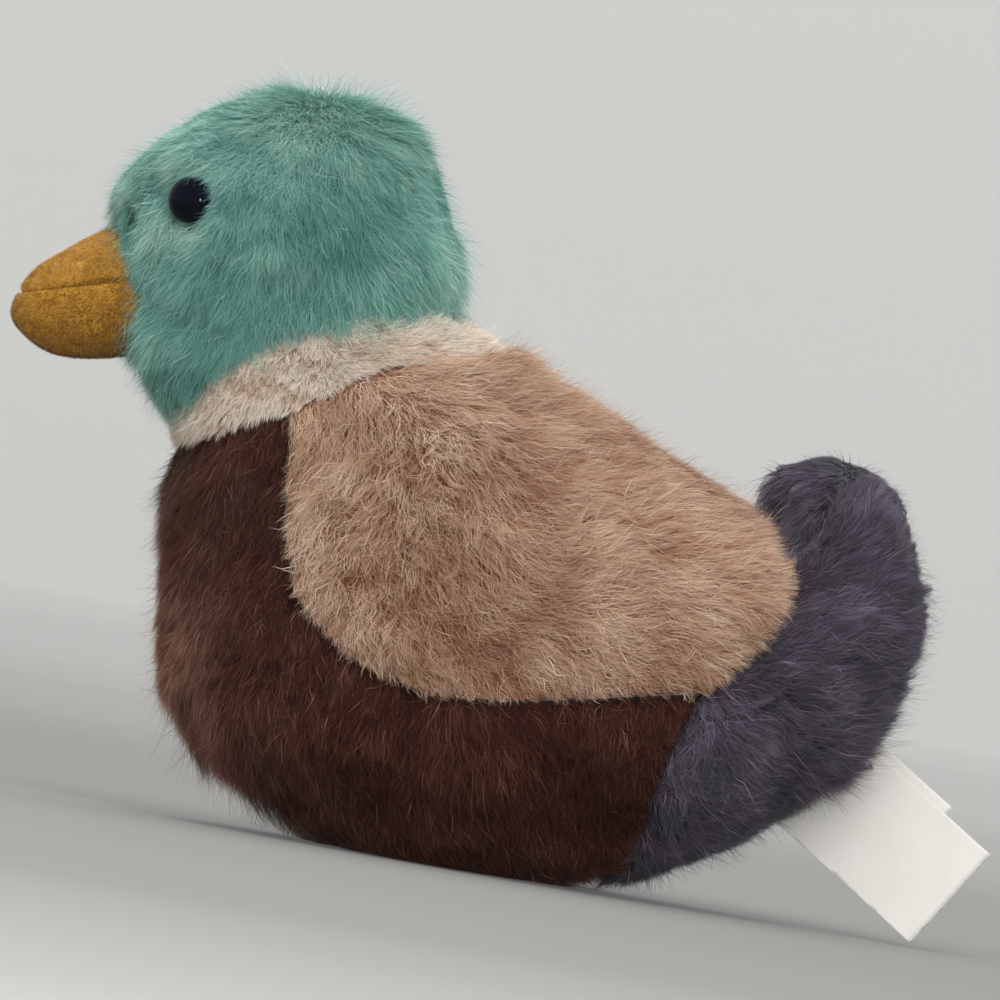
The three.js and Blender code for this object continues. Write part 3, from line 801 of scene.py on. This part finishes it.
head_pile = dict(
    strokes=head_strokes, length=6.4, lift=(58, 14), spread=0.8, gather=0.34, fray=0.38, wander=0.16, curl=0.35,
    flyaway=0.07, lock_fray=0.34, lock_shade=0.08, guard_shade=0.17, shaded_pits_at=patches((-34, 92, 10, 0.7)),
    next_to=("collar",), overhang=5.5, hang=0.65, keep_off=kept_bare,
    # Painted light and shade: lighter on the brow, the face front, the crown and the back of the head, darker in
    # the dents, along the parting, beside each eye and over the middle and lower cheek.
    shade_at=patches((-60, 101, 9, 0.3), (-66, 88, 6, 0.3), (-17, 88, 8, 0.34), (-60, 64, 7, 0.1),
                     (-38, 109, 9, 0.26), (-42, 72, 10, -0.1), (-42, 96, 8, -0.14), (-60, 93.5, 2.5, -0.3),
                     (-31.7, 94.4, 3.5, -0.24), (dent_place, dent_height, 1.4, -0.6)),
    lift_at=patches((-38, 109, 9, -0.6), (-63, 76, 6, 0.3), (-60, 66, 7, 0.1), (eye_place, 90, 3.5, -0.45),
                    (eye_place, 97.5, 2.4, 0.75), (dent_place, 89.8, 1.8, -0.5), (-58, 105, 7, -0.55),
                    (-20, 103, 6, -0.5)),
    length_at=patches((-57, 104, 8, -0.5), (-67, 90, 4, 0.1), (-32, 111, 8, 0.45), (-20, 103, 5, -0.5),
                      (-60, 76, 5, 0.5), (-28, 82, 6, 0.45), (-15, 85, 5, 0.6), (eye_place, 90, 3.5, -0.3),
                      (-55, 98, 2.4, 0.6), (dent_place, 89.8, 1.8, -0.45), (-61, 66, 5, -0.2)))
dressed("head_side_left", "teal_pile", teal_backing, teal_pile, 66000, seed=11, **head_pile)
dressed("head_side_right", "teal_pile", teal_backing, teal_pile, 50000, seed=12, **head_pile)
dressed("head_gusset", "teal_pile", teal_backing, teal_pile, 36000, seed=13, **head_pile)

# The collar: a strip each side in cream pile of about 3 mm, sewn between the head and the body. The pile stands
# out from its two seams and hangs over them.
collar_strokes = [
    (-50, 60, 0.1, -0.7), (-50, 54, 0.1, -1), (-43, 67, 0.2, -0.7), (-42, 60, 0.2, -1), (-36, 74, 0.3, -0.6),
    (-31, 66, 0.3, -1), (-25, 77, 0.6, -0.6), (-20, 74, 0.9, -0.5), (-14, 80, 0.97, -0.2), (-10, 77, 1, -0.2),
]
cream_backing = backing("cream_backing", linear(220, 202, 184))
cream_pile = pile_finish(
    "cream_pile_strands",
    [(0, linear(186, 146, 120)), (0.2, linear(240, 222, 203)), (1, linear(253, 249, 242))],
    [(0, (0.85, 0.8, 0.76)), (0.4, (0.95, 0.94, 0.93)), (0.8, 1), (1, 1)])
collar_pile = dict(
    strokes=collar_strokes, length=3.2, lift=(68, 36), reach=4, clump=0.9, fray=0.5, gather=0.45, lock_fray=0.4,
    lock_shade=0.06, hang=0.5, overhang=2.4, shaded_pits_at=patches((-42, 68, 8, 0.5), (-30, 76, 6, 0.6)),
    length_at=patches((-50, 61, 3, -0.35), (-44, 68, 3, -0.35), (-38, 74, 3, -0.35)),
    next_to=("breast", "head_side", "saddle"))
dressed("collar_left", "cream_pile", cream_backing, cream_pile, 22000, seed=21, **collar_pile)
dressed("collar_right", "cream_pile", cream_backing, cream_pile, 18000, seed=22, **collar_pile)

# The breast and flanks: one panel each side in brown pile of about 5 mm, and the flat belly gusset sewn between
# them underneath. The pile falls from the collar and is longest where the breast meets the belly.
breast_strokes = [
    (-48, 50, 0, -1), (-45, 30, 0.14, -1), (-40, 15, 0.17, -0.98), (-38, 55, 0.14, -0.98),
    (-20, 20, 0, -1), (0, 15, 0.26, -0.97), (20, 18, 0.2, -0.98), (26, 26, 0.2, -0.98), (-20, 3, 0.7, -0.5),
    (5, 3, 0.8, -0.4),
]
brown_backing = backing("brown_backing", linear(34, 20, 18))
brown_pile = pile_finish(
    "brown_pile_strands",
    [(0, linear(38, 18, 15)), (0.4, linear(68, 36, 29)), (0.7, linear(108, 66, 54)), (1, linear(176, 132, 112))],
    [(0, 0.55), (0.4, 0.8), (0.8, 1), (1, 1.0)], specular_ior_level=0.12, sheen_tint=(1, 0.72, 0.6, 1))
breast_pile = dict(
    strokes=breast_strokes, length=5.2, lift=(50, 16), width=0.09, fray=0.36, gather=0.34, lock_fray=0.34,
    guard=0.1, guard_shade=0.16, flyaway=0.03, curl=0.3, overhang=2, fallback=(0, 0.6, -0.6),
    next_to=("collar", "tail"),
    # Painted light and shade: lighter down the front of the breast, darker low on the flank towards the tail.
    shade_at=patches((-50, 30, 9, 0.34), (-46, 12, 9, 0.32), (18, 16, 12, -0.12), (-38, 40, 9, 0.03)),
    length_at=patches((-44, 14, 7, 0.7), (-35, 5, 7, 0.65), (-51, 54, 7, 0.4), (-51, 38, 8, 0.2)),
    lift_at=patches((-42, 12, 7, 0.3), (-34, 5, 7, 0.3), (-51, 54, 7, 0.3), (-51, 30, 8, -0.1)),
    over_at=patches((30, 28, 7, -0.5), (28, 14, 8, -0.5)), loose_at=patches((28, 20, 8, 0.9)))
dressed("breast_left", "brown_pile", brown_backing, brown_pile, 66000, seed=31, **breast_pile)
dressed("breast_right", "brown_pile", brown_backing, brown_pile, 50000, seed=32, **breast_pile)
dressed("belly_gusset", "brown_pile", brown_backing, brown_pile, 12000, seed=33, strokes=breast_strokes,
        length=5.5, lift=(34, 4), fallback=(0, 1, 0), length_at=patches((-32, 4, 9, 0.6)),
        lift_at=patches((-32, 4, 9, 0.5)))

# The saddle: one panel each side in tan pile of 6 to 7 mm, over the back and wing. The pile falls down the front
# edge, swirls on the wing, sweeps back and hangs over the brown along its lower seam.
saddle_strokes = [
    (-31, 70, 0.7, -0.7), (-20, 73, 0.95, -0.3), (-8, 73, 0.97, 0.1), (10, 63, 0.92, 0.3), (28, 52, 0.94, 0.3),
    (-32, 60, 0.15, -0.99), (-32, 48, 0.15, -0.99), (-29, 38, 0.45, -0.9), (-20, 31, 0.7, -0.7),
    (-5, 27, 0.93, -0.35), (12, 29, 0.97, -0.24), (30, 34, 0.93, -0.36), (-20, 60, 0.35, -0.94),
    (-8, 60, 0.5, -0.86), (-18, 46, 0.3, -0.95), (-8, 48, 0.42, -0.9), (-10, 38, 0.8, -0.6), (4, 54, 0.8, -0.5),
    (6, 44, 0.9, 0.3), (16, 46, 0.96, 0.2), (26, 44, 0.98, 0.1), (38, 50, 1, 0), (36, 41, 0.94, -0.35),
]
tan_backing = backing("tan_backing", linear(150, 100, 74))
tan_pile = pile_finish(
    "tan_pile_strands",
    [(0, linear(128, 80, 57)), (0.33, linear(182, 143, 117)), (0.65, linear(213, 184, 158)),
     (1, linear(250, 234, 212))],
    [(0, (0.84, 0.66, 0.58)), (0.35, (0.93, 0.86, 0.82)), (0.75, 1), (1, 1)], sheen_tint=(1, 0.86, 0.76, 1))
saddle_pile = dict(
    strokes=saddle_strokes, length=6.6, lift=(60, 18), segments=3, curl=0.45, wander=0.17, fray=0.34,
    gather=0.55, hang=0.5, reach=6, guard_shade=0.2, lock_fray=0.4, lock_shade=0.06, overhang=1.7,
    fallback=(0, 1, 0.2),
    next_to=("breast", "tail"),
    shaded_pits_at=patches((-21, 42, 10, 1.15), (14, 36, 9, 0.7)),
    # Painted light: the pile is lighter on the top of the back. It is also lighter at the front and rear of the
    # wing and darker in its middle.
    shade_at=patches((-2, 44, 12, -0.08), (38, 46, 8, 0.06), (-28, 42, 8, 0.22), (-14, 66, 9, 0.17),
                     (18, 42, 8, 0.16)),
    loose_at=patches((-22, 42, 9, 0.6), (2, 27, 6, 0.7), (20, 30, 7, 0.7)),
    over_at=patches((4, 26, 8, -0.3), (22, 30, 8, -0.3)), lift_at=patches((12, 64, 14, -0.4)),
    length_at=patches((22, 58, 12, -0.25)))
dressed("saddle_left", "tan_pile", tan_backing, tan_pile, 39500, seed=41, **saddle_pile)
dressed("saddle_right", "tan_pile", tan_backing, tan_pile, 32000, seed=42, **saddle_pile)

# The tail: one panel each side in slate pile of about 6 mm, sewn together along the back of the curl. The pile
# runs back from the brown and out along the curl to its tip.
tail_strokes = [
    (29, 27, 0.35, -0.8), (28, 14, 0.5, -0.75), (37, 27, 0.97, -0.15), (38, 14, 0.95, -0.3),
    (45, 15, 0.97, -0.26), (50, 28, 1, 0), (58, 35, 1, 0.09), (50, 42, 0.99, 0.12), (58, 50, 0.93, 0.36),
    (50, 58, 0.57, 0.82), (53, 67, 0.55, 0.8), (47, 69, 0.3, 0.8), (42, 69, -0.85, -0.45),
    (38, 65, -0.9, -0.4), (40, 61, -0.75, -0.65), (45, 60, 0.5, 0.8), (44, 50, 0.97, 0.2),
]
slate_backing = backing("slate_backing", linear(40, 36, 44))
slate_pile = pile_finish(
    "slate_pile_strands",
    [(0, linear(50, 45, 56)), (0.4, linear(82, 75, 88)), (0.7, linear(116, 108, 124)),
     (1, linear(170, 162, 176))],
    [(0, 0.55), (0.35, 0.8), (0.75, 1), (1, 1)])
tail_pile = dict(
    strokes=tail_strokes, length=6.0, lift=(46, 12), clump=1.5, gather=0.6, fray=0.34, reach=6, lock_fray=0.34,
    lock_shade=0.07, guard=0.12, guard_shade=0.2, flyaway=0.04, curl=0.2, overhang=2.2, fallback=(0, -0.2, -1),
    next_to=("breast", "saddle"),
    lift_at=patches((41, 70, 3.5, -0.9), (47, 72, 4, -0.6), (36.5, 64, 2.5, 0.7), (60, 60, 5, -0.3),
                    (62, 42, 8, 0.2), (61, 26, 8, 0.5)),
    length_at=patches((43, 71, 3.5, -0.6), (38.5, 68.5, 2, -0.6), (36.5, 62.5, 3, 0.9), (52, 70, 5, -0.3),
                      (59, 62, 6, -0.4), (62, 42, 8, 0.25), (60, 24, 6, 1.0)),
    shade_at=patches((48, 65, 8, -0.06), (52, 55, 7, 0.06)), loose_at=patches((31, 22, 8, 0.9)))
dressed("tail_left", "slate_pile", slate_backing, slate_pile, 60000, seed=51, **tail_pile)
dressed("tail_right", "slate_pile", slate_backing, slate_pile, 45000, seed=52, **tail_pile)

# The label: a blank white satin ribbon, heat cut at its end, with a shorter ply behind it. Both are sewn into
# the tail's centre seam and hang from it. Sizes in mm.
label_start = Vector((0.572 * body_length, 0.181 * toy_height - base_cut))
label_droop = math.radians(32.1)
label_way = Vector((math.cos(label_droop), -math.sin(label_droop)))
label_width = 17.9
label_length = 20.9
back_length = 12
back_shift = 1.4
solid_ply = 0.4
ribbon_ply = 0.22
ply_place = 0.35
ribbon_edge = 1.1
ribbon_rounds = 6
warp_pitch = 0.22
weft_pitch = 0.5
label_bow, label_twist, label_ripple, back_lean = 0.9, 0.5, 0.12, 0.5
ragged_cut = 0.06
label_clear = 0.4
satin = Finish("white_satin_ribbon", roughness=0.42, sheen_weight=0.3, sheen_roughness=0.35,
               specular_ior_level=0.45)
satin_map = satin.node("ShaderNodeUVMap", {"uv_map": "ribbon"}, {})
satin_across, satin_along = satin.part(satin_map, 0), satin.part(satin_map, 1)
warp, weft = (
    satin.node("ShaderNodeMath", {"operation": "SINE"}, {0: place * (label_width * 2 * math.pi / pitch)})
    for place, pitch in [(satin_across, warp_pitch), (satin_along, weft_pitch)])
satin_cloud = satin.noise(160, 3)
satin_tone = satin.mixed(satin_cloud, (*linear(232, 228, 221), 1), (*linear(243, 240, 235), 1))
cut_noise = satin.noise(800, 3)
cut_edge = satin.ranged(satin_along, 1.115, 1.165)
cut_marks = satin.ranged(cut_noise * cut_edge, 0.42, 0.56)
satin_colour = satin.mixed(0.45 * cut_marks, satin_tone, (*linear(132, 126, 118), 1))
satin_bump = satin.bump(warp * 0.5 + weft * 0.25 + cut_marks * 2, 0.35, 0.00008)
satin.feed(base_color=satin_colour, normal=satin_bump, roughness=0.36 + 0.12 * satin_cloud)


def on_ribbon(corner, shift):
    """Where a corner of a ply lies: how far along the ribbon, and how far beside its middle."""
    place = Vector(corner.yz) - label_start
    return place.dot(label_way), place.dot(Vector((-label_way.y, label_way.x))) - shift


for node, ply_middle, length, shift in [("label_front", ply_place, label_length, 0),
                                        ("label_back", -ply_place, back_length, back_shift)]:
    ribbon, cut = cut_cloth(node + "_ribbon", node)
    split(cut, ribbon_edge, ribbon_rounds)
    ribbon_map = cut.loops.layers.uv.new("ribbon")
    for face in cut.faces:
        for loop in face.loops:
            along, beside = on_ribbon(loop.vert.co, shift)
            loop[ribbon_map].uv = (beside / label_width + 0.5, along / label_width)
    for vertex in cut.verts:
        along, beside = on_ribbon(vertex.co, shift)
        from_middle = (vertex.co.x - ply_middle) * ribbon_ply / solid_ply
        free = max(along, 0) / label_length
        ripple = label_ripple * math.sin(0.7 * along + 0.4 * beside) * free
        bow = label_bow * free ** 2 + label_twist * free * beside / 9 + ripple
        if shift:
            bow -= back_lean * free
        cut_end = along > length - solid_ply
        ragged = ragged_cut * math.sin(2.3 * beside) * math.sin(0.9 * beside + 1) if cut_end else 0
        vertex.co.x = ply_middle + from_middle + bow
        vertex.co.y += ragged * label_way.x
        vertex.co.z = max(vertex.co.z + ragged * label_way.y, label_clear)
    put_back(ribbon, cut)
    ribbon.data.materials.append(satin.material)
    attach(ribbon, "root")
    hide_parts(node)

# Inside: loose polyester fibre in the head, body, tail and bill, a thin cloth pouch of plastic beans, and the
# nylon washers that lock the eyes. They keep their solids.
fibre = Finish("polyester_fibre", roughness=1.0, sheen_weight=0.3)
fibre_tufts = fibre.noise(500, 5, 0.7)
fibre_tone = fibre.mixed(fibre_tufts, (*linear(224, 222, 214), 1), (*linear(246, 245, 241), 1))
fibre.feed(base_color=fibre_tone, normal=fibre.bump(fibre_tufts, 0.8, 0.0006))
nylon = Finish("moulded_nylon", roughness=0.4, specular_ior_level=0.5)
nylon_grain = nylon.noise(1500, 2)
nylon.feed(base_color=nylon.mixed(nylon_grain, (*linear(206, 206, 200), 1), (*linear(222, 222, 217), 1)),
           roughness=0.34 + 0.12 * nylon_grain)
pouch_cloth = Finish("bean_pouch_cloth", roughness=0.9)
pouch_weave = pouch_cloth.noise(2400, 2)
pouch_beans = pouch_cloth.node("ShaderNodeTexVoronoi", {}, {"Scale": 330.0})
pouch_height = 1 - pouch_beans * 1.2 + pouch_weave * 0.1
pouch_tone = pouch_cloth.mixed(pouch_weave, (*linear(214, 209, 198), 1), (*linear(230, 226, 217), 1))
pouch_cloth.feed(base_color=pouch_tone, normal=pouch_cloth.bump(pouch_height, 0.7, 0.0008))
for node, finish in [("head_stuffing", fibre), ("body_stuffing", fibre), ("tail_stuffing", fibre),
                     ("bill_stuffing", fibre), ("bean_pouch", pouch_cloth), ("eye_washer_left", nylon),
                     ("eye_washer_right", nylon)]:
    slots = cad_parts[node].data.materials
    slots.clear()
    slots.append(finish.material)
